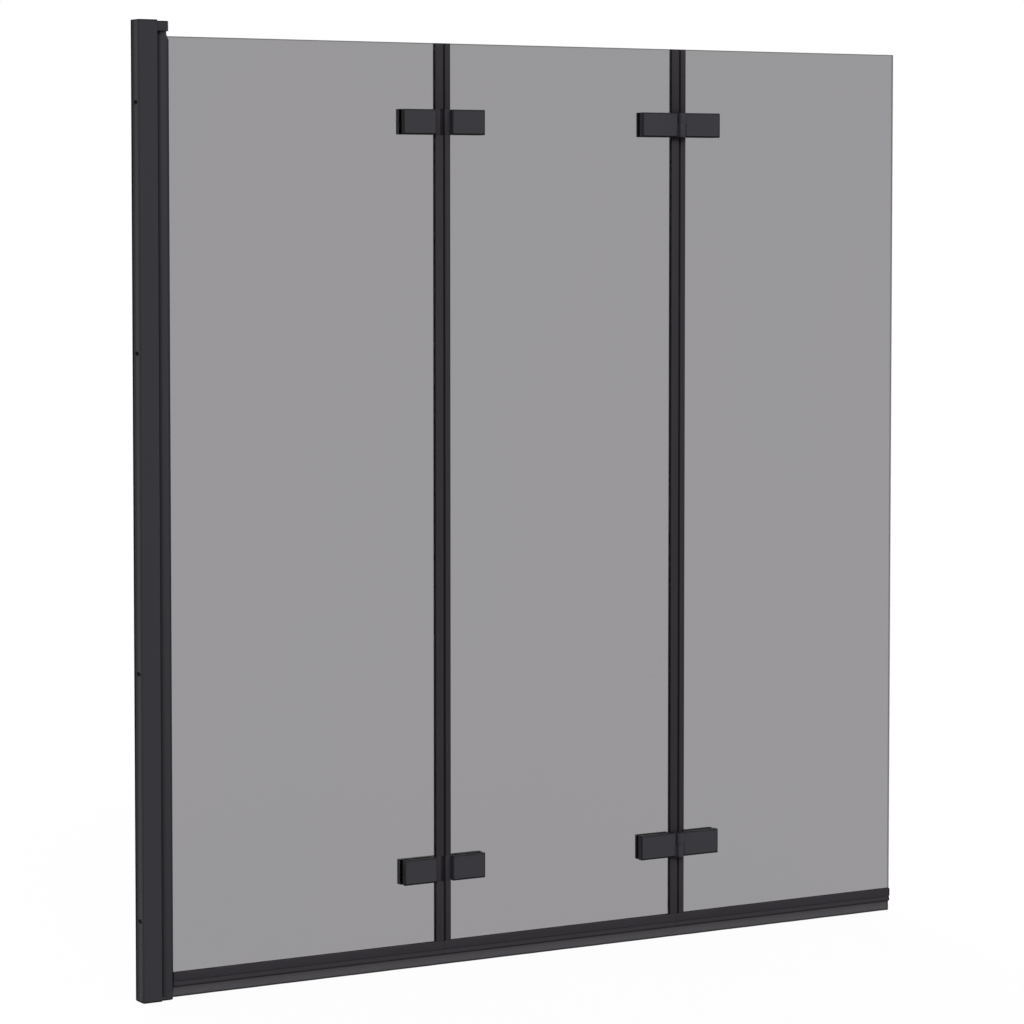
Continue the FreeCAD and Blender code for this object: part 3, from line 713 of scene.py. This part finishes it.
def clampScrew(x, z, tip, head):
    # a bar with a broken edge and a hexagon socket: the socket's radius at an angle is that of the
    # hexagon, flat / cos(angle folded into the nearest sixth of a turn)
    v = hingeValues
    angle = evenAngles()
    folded = np.mod(angle + math.pi / 6, math.pi / 3) - math.pi / 6
    hexagon = v["socket"] * math.cos(math.pi / 6) / np.cos(folded)
    full, end, edge = v["screwRadius"], v["screwTip"], v["screwEdge"]
    floor = head - v["socketDepth"]
    wider, deeper = v["socketMouth"]
    share, point = v["socketPoint"]
    shade = v["faceShade"]
    # the head's face carries half the painted shade and the socket all of it
    steps = ((full - end, tip, 0.0), (full, tip + end, 0.0), (full, head - edge, 0.0),
             (full - edge, head, shade), (hexagon + wider, head, shade),
             (hexagon, head - deeper, 1.0), (hexagon * v["socketTaper"], floor, 1.0),
             (full * share, floor - point, 1.0))
    return shell("Y", [(polar((x, z), radius, angle), place, mark)
                       for radius, place, mark in steps])


def foldHinges(number, centre, knuckle, bodies):
    # both hinges of a fold, half by half: blocks on the barrels' side of the glass, plates on the
    # other, screws whose heads lie on the side that has the hole, and the pins on the first half
    v = hingeValues
    glass, thick, plateThick = v["glassFace"], v["thick"], v["plateThick"]
    headPart, threadPart = (thick, plateThick) if knuckle > 0 else (plateThick, thick)
    head = glass + headPart - v["screwSink"]
    tip = v["screwFloor"] - glass - threadPart
    for letter, side, body in (("a", -1, bodies[0]), ("b", 1, bodies[1])):
        screws = []
        screwAt = centre + v["screwPlace"] * side
        for word, level in zip(("lower", "upper"), screenValues["hingeLevels"]):
            stem = "hinge_%d_%s" % (number, word)
            hingeBlock("%s_block_%s" % (stem, letter), centre, side, knuckle, level, side > 0, body)
            plate = "%s_plate_%s" % (stem, letter)
            ends = (centre + v["plateStart"] * side, centre + v["plateReach"] * side)
            clamp = clampBox(ends, level, -glass * knuckle, -(glass + plateThick) * knuckle,
                             screwAt if knuckle < 0 else None)
            makePiece("look_" + plate, [clamp], body, "hinge_metal", [plate])
            screws.append(clampScrew(screwAt, level, tip, head))
            if side < 0:
                half = v["height"] / 2 - v["pinRecess"]
                loop = polar((centre, v["axisOff"] * knuckle), v["pin"], evenAngles())
                pin = bar("Z", loop, 0.0, level - half, level + half, v["pinEdge"])
                makePiece("look_%s_pin" % stem, [pin], body, "steel_pin", ["%s_pin" % stem])
        screwNode = "hinge_%d_screws_%s" % (number, letter)
        makePiece("look_" + screwNode, screws, body, "screw_steel", [screwNode])


for fold in folds:
    foldHinges(*fold)
print("hinges made")


# the panes: ground slabs with a polished arris all round and notches behind the hinges

paneValues = {
    "start": 44.3,
    "half": 2.5,
    "arris": 0.5,
    "rim": 1.3,
    "corner": 1.2,
    "faceCorner": 0.3,
    "notchReach": 48.0,
    "notchHalf": 9.0,
    "notchCorner": 3.0,
    "steps": 3,
    "sharp": 20.0,
}


def notches(edge, fold, side):
    # the corners of a pane's notches, from the edge in to a place beside the fold
    if fold is None:
        return []
    deep, half = fold + paneValues["notchReach"] * side, paneValues["notchHalf"]
    return [spot for level in screenValues["hingeLevels"] for spot in (
        (edge, level - half), (deep, level - half), (deep, level + half), (edge, level + half))]


def pane(number, left, right, leftFold, rightFold):
    # a slab whose outline is rounded at the corners and has notches beside a fold; the same outline
    # moved in by the rim bounds the clear part of each face, and the rim around it carries painted
    # shade
    p, s = paneValues, screenValues
    points = [(left, s["glassBottom"]), (right, s["glassBottom"])] + notches(right, rightFold, -1)
    points += [(right, s["glassTop"]), (left, s["glassTop"])] + notches(left, leftFold, 1)[::-1]
    points = np.array(points)
    inNotch = (points[:, 0] != left) & (points[:, 0] != right)
    outline = roundCorners(points, np.where(inNotch, p["notchCorner"], p["corner"]), p["steps"])
    rim = p["arris"] + p["rim"]
    inner = np.where(inNotch, p["notchCorner"] + rim, p["faceCorner"])
    face = roundCorners(inset(points, rim), inner, p["steps"])
    half = p["half"]
    ground = endRings(outline, -half, half, p["arris"], 1)
    rings = [(ring, level, 1.0) for ring, level, mark in ground]
    slab = shell("Y", [(face, -half, 0.0)] + rings + [(face, half, 0.0)])
    name = "glass_%d" % number
    makePiece("look_" + name, [slab], "panel_%d" % number, "smoked_glass", [name], p["sharp"])


beside = screenValues["glassToFold"]
pane(1, paneValues["start"], foldOne - beside, None, foldOne)
pane(2, foldOne + beside, foldTwo - beside, foldOne, foldTwo)
pane(3, foldTwo + beside, screenValues["width"], foldTwo, None)
print("panes made")


# the seals on the panes' upright edges: one of each pair has a soft nose that covers the fold

sealValues = {
    "half": 4.3,
    "reach": 12.7,
    "wall": 0.8,
    "face": 0.5,
    "slimFace": 3.5,
    "noseHalf": 2.4,
    "tipHalf": 1.4,
    "nose": 3.45,
    "web": 1.0,
    "lipRound": 0.75,
    "mouthRound": 0.2,
    "slotRound": 0.1,
    "rootRound": 0.3,
    "faceRound": 0.4,
    "edgeRound": 0.5,
    "tipRound": 0.9,
    "window": 18.8,
    "tuck": 0.3,
    "back": 0.04,
    "end": 0.25,
    "cutEnd": 0.1,
    "endSteps": 2,
    "recessShade": 0.75,
}


def foldSeal(number, letter, centre, side, knuckle, body):
    # a U over the pane's edge, drawn in a plan and carried upwards: the whole section stands
    # between the hinges, and the cut one, set back a hair and with painted shade at its web, behind
    # them
    p, s = sealValues, screenValues
    half, far, web, glass, edge = p["half"], p["reach"], p["web"], s["glassSlot"], s["glassToFold"]
    lip, mouth, slot = p["lipRound"], p["mouthRound"], p["slotRound"]
    root, soft, blunt = p["rootRound"], p["edgeRound"], p["faceRound"]
    glassSide = [(edge, glass, slot), (edge, -glass, slot), (far, -glass, mouth)]
    legs = [(far, half, lip), (far, glass, mouth)] + glassSide + [(far, -half, lip)]
    if letter == "a":
        face, nose, tip, inner = -p["face"], -p["nose"], p["tipHalf"], edge - p["wall"]
        front = [(face, -half, blunt), (face, -p["noseHalf"], root), (nose, -tip, p["tipRound"]),
                 (nose, tip, p["tipRound"]), (face, p["noseHalf"], root), (face, half, blunt)]
        cut = [(far, -half, lip), (inner, -half, root), (inner, -web, mouth), (nose, -web, soft),
               (nose, web, soft), (inner, web, mouth), (inner, glass, slot)] + glassSide
    else:
        face = p["slimFace"]
        front = [(face, -half, soft), (face, half, soft)]
        cut = [(far, -half, lip), (face, -half, soft), (face, glass, slot)] + glassSide
    whole = turnedProfile(front + legs, centre, side, knuckle)
    cutAway = inset(turnedProfile(cut, centre, side, knuckle), p["back"])
    marks = cornerMarks([1.0] * len(front + legs))
    recess = np.repeat([p["recessShade"] if abs(out) <= web else 0.0 for along, out, radius in cut],
                       arcSteps + 1)
    windows = [level + part * p["window"] for level in s["hingeLevels"] for part in (-1, 1)]
    stops = [s["stripTop"]] + windows + [s["glassTop"]]
    shells = [bar("Z", whole, marks, low, high, p["end"], p["endSteps"])
              for low, high in zip(stops[::2], stops[1::2])]
    tuck = p["tuck"]
    shells += [bar("Z", cutAway, recess, low - tuck, high + tuck, p["cutEnd"], p["endSteps"])
               for low, high in zip(windows[::2], windows[1::2])]
    name = "fold_%d_seal_%s" % (number, letter)
    makePiece("look_" + name, shells, body, "upright_seal", [name])


for number, centre, knuckle, bodies in folds:
    for letter, side, body in (("a", -1, bodies[0]), ("b", 1, bodies[1])):
        foldSeal(number, letter, centre, side, knuckle, body)
print("upright seals made")


# the strips under the panes: a rounded U with a stem and a drip fin, and a soft skirt below

stripValues = {
    "start": 51.2,
    "endGap": 0.03,
    "half": 4.6,
    "bottom": 24.6,
    "lip": 0.9,
    "stemHalf": 1.2,
    "stemBottom": 15.5,
    "finRoot": 2.9,
    "finTop": 24.3,
    "finBottom": 22.2,
    "finReach": 4.3,
    "tipTop": 18.8,
    "tipBottom": 17.0,
    "end": 0.3,
    "endSteps": 2,
    "endLine": 2.4,
    "endFade": 0.5,
}
skirtValues = {
    "spacing": 6.0,
    "bladeHalf": 0.5,
    "bladeMiddle": 8.0,
    "bead": 0.85,
    "foot": 1.3,
    "beadTop": 2.6,
    "beadLine": 2.2,
    "beadFull": 1.6,
    "beadHalf": 0.8,
    "rootShade": 0.3,
    "sharp": 60.0,
    "wave": 0.25,
    "waveLength": 96.0,
    "rippleShare": 0.5,
    "rippleTurn": 0.171,
}


def strip(number, left, right, shade=0.0):
    # the same section all along x: each row is a corner (out, height, radius, edge mark of painted
    # shade), and the shade darkens a free end as painted shade
    p, s = stripValues, screenValues
    half, lip, stem, root, fin = p["half"], p["lip"], p["stemHalf"], p["finRoot"], p["finReach"]
    top, bottom, foot = s["stripTop"], p["bottom"], p["stemBottom"]
    glass, floor = s["glassSlot"], s["glassBottom"]
    rows = np.array([
        (-half, top, lip, 0.0), (-half, bottom, lip, 0.1),
        (-root, bottom, 0.1, 0.0), (-root, p["finTop"], 0.3, 0.0),
        (-fin, p["tipTop"], 0.5, 0.15), (-fin, p["tipBottom"], 0.8, 1.0),
        (-stem, p["finBottom"], 0.5, 1.0), (-stem, foot, 0.2, 0.2),
        (stem, foot, 0.2, 0.2), (stem, bottom, 0.4, 0.0),
        (half, bottom, lip, 0.1), (half, top, lip, 0.0),
        (glass, top, 0.4, 0.0), (glass, floor, 0.1, 0.0),
        (-glass, floor, 0.1, 0.0), (-glass, top, 0.4, 0.0)])
    loop = roundCorners(rows[:, :2], rows[:, 2])
    rings = endRings(loop, left, right, p["end"], p["endSteps"])
    turn, line = len(rings) // 2, right - p["endLine"]
    last = [(ring, place, max(mark, shade)) for ring, place, mark in rings[turn:]]
    rings = rings[:turn] + [(loop, line - p["endFade"], 0.0), (loop, line, shade)] + last
    rail = shell("X", rings, cornerMarks(rows[:, 3]))
    name = "bottom_rail_%d" % number
    makePiece("look_" + name, [rail], "panel_%d" % number, "rigid_seal", [name])


def skirt(number, left, right, shade=0.0):
    # a blade with a bead at its foot, mirrored about its middle line from rows of (height, half
    # thickness, edge mark of painted shade), with painted shade at a free end. The middle line
    # leaves the glass plane by wave * depth squared * a sum of two sines of x, so the soft foot
    # isn't quite straight
    p, q = skirtValues, stripValues
    line = right - q["endLine"]
    along = np.linspace(left, line - q["endFade"], int((right - left) / p["spacing"]) + 2)
    along = np.append(along, [line, right])
    foot, blade, top = p["foot"], p["bladeHalf"], q["stemBottom"]
    height, thick, mark = np.array([
        (top, blade, p["rootShade"]), (p["bladeMiddle"], blade, 0.0),
        (foot + p["beadTop"], blade, 0.0), (foot + p["beadLine"], blade, 1.0),
        (foot + p["beadFull"], blade, 1.0), (foot + p["beadHalf"], p["bead"], 1.0),
        (foot, 0.0, 1.0)]).T
    height, mark = np.append(height, height[-2::-1]), np.append(mark, mark[-2::-1])
    thick = np.append(-thick, thick[-2::-1])
    depth = (top - height) / (top - foot)
    ripple = p["rippleShare"] * np.sin(along * p["rippleTurn"] + number)
    wave = p["wave"] * (np.sin(along * 2 * math.pi / p["waveLength"]) + ripple)
    y = thick + wave[:, None] * depth[None, :] ** 2
    x = np.broadcast_to(along[:, None], y.shape)
    grid = np.stack([x, y, np.broadcast_to(height, y.shape)], axis=2)
    edge = np.array(np.broadcast_to(mark, y.shape))
    edge[-2:] = np.maximum(edge[-2:], shade)
    name = "drip_skirt_%d" % number
    makePiece("look_" + name, [(grid, edge)], "panel_%d" % number, "soft_skirt", [name], p["sharp"])


gap = stripValues["endGap"]
for stretch in ((1, stripValues["start"], foldOne - gap), (2, foldOne + gap, foldTwo - gap),
                (3, foldTwo + gap, screenValues["width"], 1.0)):
    strip(*stretch)
    skirt(*stretch)
print("bottom strips made")


# the post: a round section open on the pane's side

postValues = {
    "place": 41.0,
    "radius": 10.0,
    "low": 11.7,
    "high": 1353.0,
    "edge": 0.3,
    "points": 96,
    "slotHalf": 3.3,
    "slotStart": 2.4,
    "slotShade": 0.6,
    "shadeEnd": 75.0,
    "shadeFade": 25.0,
}


def pivotPost():
    # an arc from one lip of the slot round to the other, with painted shade, black in the slot and
    # darker beside it: the shade falls from its full share to 0 at shadeEnd degrees from the slot's
    # middle
    p = postValues
    lip = math.asin(p["slotHalf"] / p["radius"])
    angle = np.linspace(lip, 2 * math.pi - lip, p["points"])
    arc = polar((p["place"], 0.0), p["radius"], angle)
    deep, half = p["place"] + p["slotStart"], p["slotHalf"]
    loop = np.vstack([arc, [(deep, -half), (deep, half)]])
    fromSlot = np.degrees(np.minimum(angle, 2 * math.pi - angle))
    marks = p["slotShade"] * np.clip((p["shadeEnd"] - fromSlot) / p["shadeFade"], 0.0, 1.0)
    post = bar("Z", loop, np.append(marks, [1.0, 1.0]), p["low"], p["high"], p["edge"])
    makePiece("look_pivot_post", [post], "panel_1", "profile_metal", ["pivot_post"])


# the bearing blocks above and below the post, with black bands of painted shade, and the cap of the
# wall channel

channelValues = {
    "depth": 29.0,
    "half": 13.5,
    "top": 1378.5,
}
blockValues = {
    "start": 4.0,
    "half": 11.5,
    "nose": 9.5,
    "corner": 0.5,
    "shoulder": 0.3,
    "noseSteps": 16,
    "spacing": 2.0,
    "edge": 0.4,
    "topFloor": 1364.6,
    "footTop": 5.3,
    "spigotStart": 8.0,
    "spigotEnd": 27.2,
    "spigotHalf": 9.7,
    "spigotCorner": 1.0,
    "spigot": 12.0,
    "overlap": 0.1,
    "shadeBand": 1.4,
    "shadeBandInset": 0.02,
}
capValues = {
    "top": 1380.0,
    "corner": 0.8,
    "edge": 0.5,
    "tongueStart": 2.5,
    "tongueEnd": 3.9,
    "tongueHalf": 8.0,
    "tongueDeep": 6.0,
    "tongueOverlap": 0.2,
    "tongueCorner": 0.3,
    "tongueEdge": 0.1,
}


def bearingBlock(name, inner, outer):
    # from its inner face the block goes out to a black band of painted shade with the same plan,
    # with a round nose over the post, and a spigot goes the other way into the channel
    p, depth = blockValues, channelValues["depth"]
    out = 1 if outer > inner else -1
    seam = outer - p["shadeBand"] * out
    half, nose, tip = p["half"], p["nose"], postValues["place"] + p["nose"]
    plan = [(p["start"], -half), (depth, -half), (depth, -nose), (tip, -nose), (tip, nose),
            (depth, nose), (depth, half), (p["start"], half)]
    corner, shoulder = p["corner"], p["shoulder"]
    radii = (corner, shoulder, shoulder, nose, nose, shoulder, shoulder, corner)
    loop = densify(roundCorners(plan, radii, p["noseSteps"]), 0.0, p["spacing"])[0]
    block = bar("Z", loop, 0.0, *sorted((inner, seam)), p["edge"])
    levels = sorted((inner - p["spigot"] * out, inner + p["overlap"] * out))
    spigot = box("Z", (p["spigotStart"], -p["spigotHalf"]), (p["spigotEnd"], p["spigotHalf"]),
                 *levels, p["spigotCorner"], p["edge"])
    makePiece("look_" + name, [block, spigot], "wall_frame", "moulded_plastic", [name])
    shadeBand = bar("Z", inset(loop, p["shadeBandInset"]), 1.0, *sorted((seam, outer)), p["edge"])
    makePiece(name + "_shade_band", [shadeBand], "wall_frame", "black_plastic")


def channelCap():
    # a thin plate with a rolled top edge, over a tongue that goes down into the channel
    p, c = capValues, channelValues
    half, depth, top = c["half"], c["depth"], c["top"]
    loop = roundCorners([(0.0, -half), (depth, -half), (depth, half), (0.0, half)], p["corner"])
    # the plate carries full painted shade
    plate = bar("Z", loop, 1.0, top, p["top"], p["edge"])
    low, high = top - p["tongueDeep"], top + p["tongueOverlap"]
    tongue = box("Z", (p["tongueStart"], -p["tongueHalf"]), (p["tongueEnd"], p["tongueHalf"]),
                 low, high, p["tongueCorner"], p["tongueEdge"])
    makePiece("look_profile_cap", [plate, tongue], "wall_frame", "black_plastic", ["profile_cap"])


# the small parts of the wall channel: strips in the grooves of its wall face, and snap caps

grooveValues = {
    "middle": 10.9,
    "half": 1.4,
    "deep": (0.15, 0.8),
    "foot": 0.6,
    "short": 0.2,
    "corner": 0.15,
    "edge": 0.1,
}
buttonValues = {
    "place": 18.0,
    "radius": 5.0,
    "rise": 2.2,
    "levels": (250.0, 690.0, 1130.0),
    "shares": (1.0, 1.0, 0.97, 0.88, 0.7, 0.45, 0.2, 0.02),
    "rim": 0.55,
    "sunk": -0.3,
    "rimFrom": 0.9,
    "rimShade": 0.6,
}


def grooveStrips():
    # strips that lie in the two grooves, a hair below the wall face: black butyl on the dry side
    # and a grey rubber on the bath's side
    p = grooveValues
    outer, inner = p["deep"]
    high = channelValues["top"] - p["short"]
    for name, side, slotName in (("butyl_strip", 1, "black_plastic"),
                                 ("rubber_strip", -1, "upright_seal")):
        middle = side * p["middle"]
        lining = box("Z", (outer, middle - p["half"]), (inner, middle + p["half"]),
                     p["foot"], high, p["corner"], p["edge"], 0.0)
        makePiece(name, [lining], "wall_frame", slotName)


def screwButtons():
    # shallow caps that snap over the screws of the adjusting channel: the rim stands up and then
    # the height goes on rising as 1 - share squared towards the middle
    p = buttonValues
    share = np.array(p["shares"])
    rise = p["rise"] * (p["rim"] + (1 - p["rim"]) * (1 - share ** 2))
    rise[0] = p["sunk"]
    mark = np.where(share > p["rimFrom"], p["rimShade"], 0.0)
    rows = list(zip(share * p["radius"], channelValues["half"] + rise, mark))
    shells = [shell("Y", [(polar((p["place"], level), radius, evenAngles()), out, dark)
                          for radius, out, dark in rows]) for level in p["levels"]]
    makePiece("screw_buttons", shells, "wall_frame", "black_plastic")


pivotPost()
bearingBlock("top_bracket", blockValues["topFloor"], channelValues["top"])
bearingBlock("bottom_bracket", blockValues["footTop"], 0.0)
channelCap()
grooveStrips()
screwButtons()
print("post, blocks, cap and buttons made")


# the stage: a pale floor, a white world, plain lamps and the camera

stageValues = {
    "floorLevel": -0.0008,
    "floorHalf": 30.0,
    "floorGlow": 0.94,
    "floorBounce": 0.42,
    "glowFrom": 1.2,
    "glowTo": 3.6,
    "clothSize": 3.0,
    "clothDark": 0.90,
    "clothLight": 0.94,
    "fillStrength": 0.62,
}
lampValues = {
    "key": {"strength": 1.50, "angle": 24.0, "turn": (56.0, 0.0, -20.0)},
    "fill": {"strength": 0.50, "angle": 40.0, "turn": (66.0, 0.0, 34.0)},
    "back": {"strength": 1.20, "angle": 40.0, "turn": (60.0, 0.0, 165.0)},
}
cameraValues = {
    "place": (-2.0543, -4.5683, 1.1220),
    "yaw": 30.227,
    "pitch": -2.950,
    "lens": 125.512,
    "sensor": 36.0,
    "shift": -0.12,
    "clipEnd": 100.0,
}


def seenDirect(tree):
    # 1 for rays that show a surface as it is: straight, mirrored or through glass
    straight, mirrored, through = [addNode(tree, "ShaderNodeLightPath", {}, {}, kind) for kind in
                                   ("Is Camera Ray", "Is Glossy Ray", "Is Transmission Ray")]
    return (straight + mirrored + through).least(1.0)


def makeWorld():
    # white where it is seen directly, and weaker as a light
    world = bpy.data.worlds.new("studio")
    bpy.context.scene.world = world
    world.use_nodes = True
    tree = world.node_tree
    tree.nodes.clear()
    direct = seenDirect(tree)
    strength = direct + (1.0 - direct) * stageValues["fillStrength"]
    back = addNode(tree, "ShaderNodeBackground", {}, {"Color": grey(1.0), "Strength": strength})
    addNode(tree, "ShaderNodeOutputWorld", {}, {"Surface": back})


def makeFloor():
    # a wide pale cloth that keeps the shadow: where it is seen directly, a share of it glows, and
    # that share goes up to 1 with the distance from the object
    p = stageValues
    material, tree = newTree("paleFloor")
    apart = addNode(tree, "ShaderNodeVectorMath", {"operation": "LENGTH"},
                    {0: objectPlace(tree)}, "Value")
    far = addNode(tree, "ShaderNodeMapRange", {"interpolation_type": "SMOOTHSTEP"},
                  {"Value": apart, "From Min": p["glowFrom"], "From Max": p["glowTo"]})
    cloth = noise(tree, even, p["clothSize"])
    pale = blend(tree, cloth, grey(p["clothDark"]), grey(p["clothLight"]))
    soft = blend(tree, seenDirect(tree), grey(p["floorBounce"]), pale)
    matt = addNode(tree, "ShaderNodeBsdfDiffuse", {}, {"Color": soft})
    glow = addNode(tree, "ShaderNodeEmission", {}, {"Color": grey(1.0), "Strength": 1.0})
    share = seenDirect(tree) * (p["floorGlow"] + (1.0 - p["floorGlow"]) * far)
    both = addNode(tree, "ShaderNodeMixShader", {}, {0: share, 1: matt, 2: glow})
    addNode(tree, "ShaderNodeOutputMaterial", {}, {"Surface": both})
    half, level = p["floorHalf"], p["floorLevel"]
    corners = [(x * half, y * half, level) for x, y in ((-1, -1), (1, -1), (1, 1), (-1, 1))]
    mesh = bpy.data.meshes.new("floor")
    mesh.from_pydata(corners, [], [(0, 1, 2, 3)])
    mesh.materials.append(material)
    floor = bpy.data.objects.new("floor", mesh)
    bpy.context.scene.collection.objects.link(floor)


def makeLamps():
    # three soft suns: strength, angle across in degrees, and turn about x, y and z in degrees
    for name, lamp in lampValues.items():
        light = bpy.data.lights.new(name, "SUN")
        light.energy = lamp["strength"]
        light.angle = math.radians(lamp["angle"])
        holder = bpy.data.objects.new(name, light)
        holder.rotation_euler = [math.radians(turn) for turn in lamp["turn"]]
        bpy.context.scene.collection.objects.link(holder)


def makeCamera():
    # stands at the photograph's place, turned right by yaw and up by pitch in degrees
    p = cameraValues
    lens = bpy.data.cameras.new("camera")
    lens.sensor_width = p["sensor"]
    lens.lens = p["lens"]
    lens.shift_y = p["shift"]
    lens.clip_end = p["clipEnd"]
    holder = bpy.data.objects.new("camera", lens)
    holder.location = p["place"]
    holder.rotation_euler = (math.radians(90.0 + p["pitch"]), 0.0, -math.radians(p["yaw"]))
    bpy.context.scene.collection.objects.link(holder)
    bpy.context.scene.camera = holder


makeWorld()
makeFloor()
makeLamps()
makeCamera()
bpy.context.scene.view_settings.view_transform = "Standard"
print("stage, lamps and camera made")
